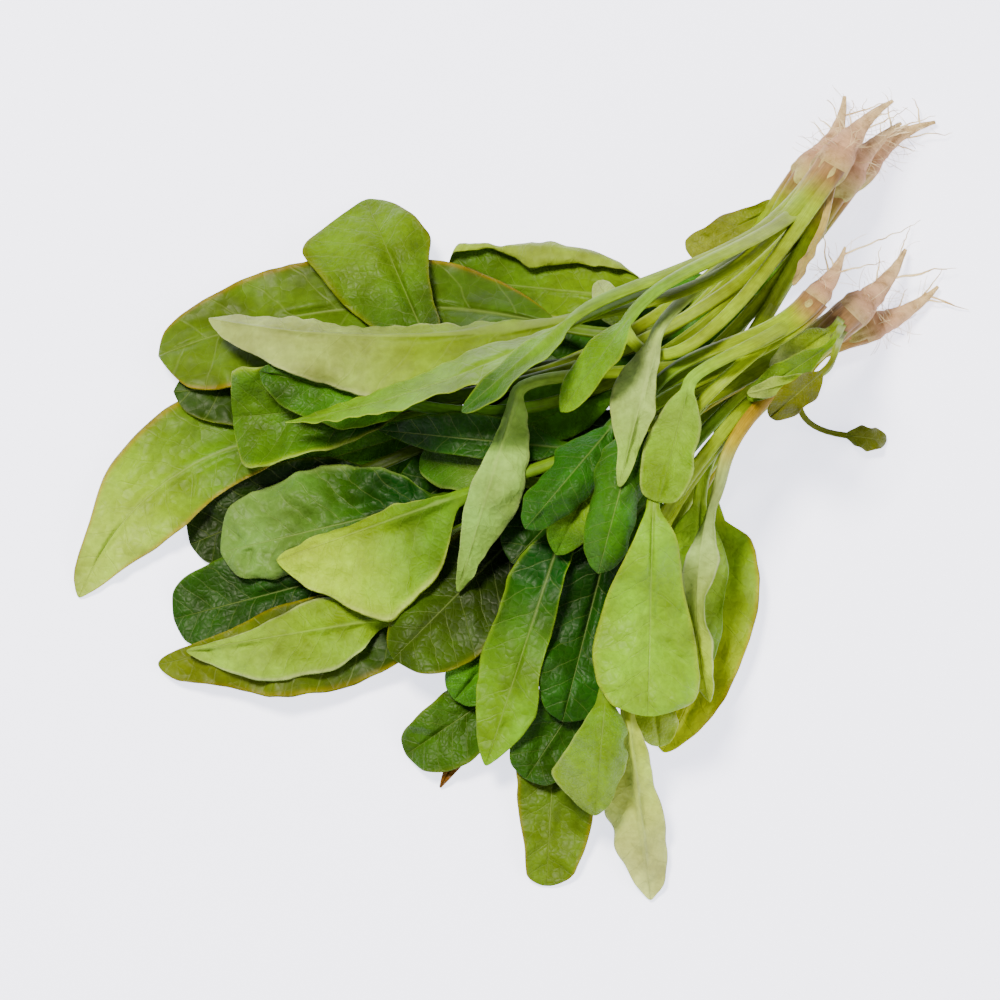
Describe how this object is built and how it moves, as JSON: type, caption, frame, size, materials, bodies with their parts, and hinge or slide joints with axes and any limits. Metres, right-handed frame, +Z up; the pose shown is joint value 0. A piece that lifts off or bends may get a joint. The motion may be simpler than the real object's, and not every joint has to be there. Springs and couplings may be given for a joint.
{
  "type": "spinach bunch",
  "caption": "Fresh flat-leaf spinach plants with their roots on, laid together as a loose bunch, leaves fanned out from the crowns.",
  "frame": {"origin": "on the table under the middle of the bunch's outline", "axes": "+Z up from the table, +X toward the crowns' side, +Y toward the back, leaf tips toward -X and -Y"},
  "size_m": [0.3236, 0.3072, 0.093],
  "materials": {
    "leaf": "fresh leaf, faintly waxy, paler underneath",
    "root": "pinkish brown root skin, matt"
  },
  "bodies": {
    "root": {"low_back_leaves": "leaf", "low_back_root": "root", "low_front_leaves": "leaf", "low_front_root": "root", "back_leaves": "leaf", "back_root": "root", "middle_back_leaves": "leaf", "middle_back_root": "root", "front_leaves": "leaf", "front_root": "root", "middle_front_leaves": "leaf", "middle_front_root": "root", "top_leaves": "leaf", "top_root": "root"}
  },
  "joints": []
}
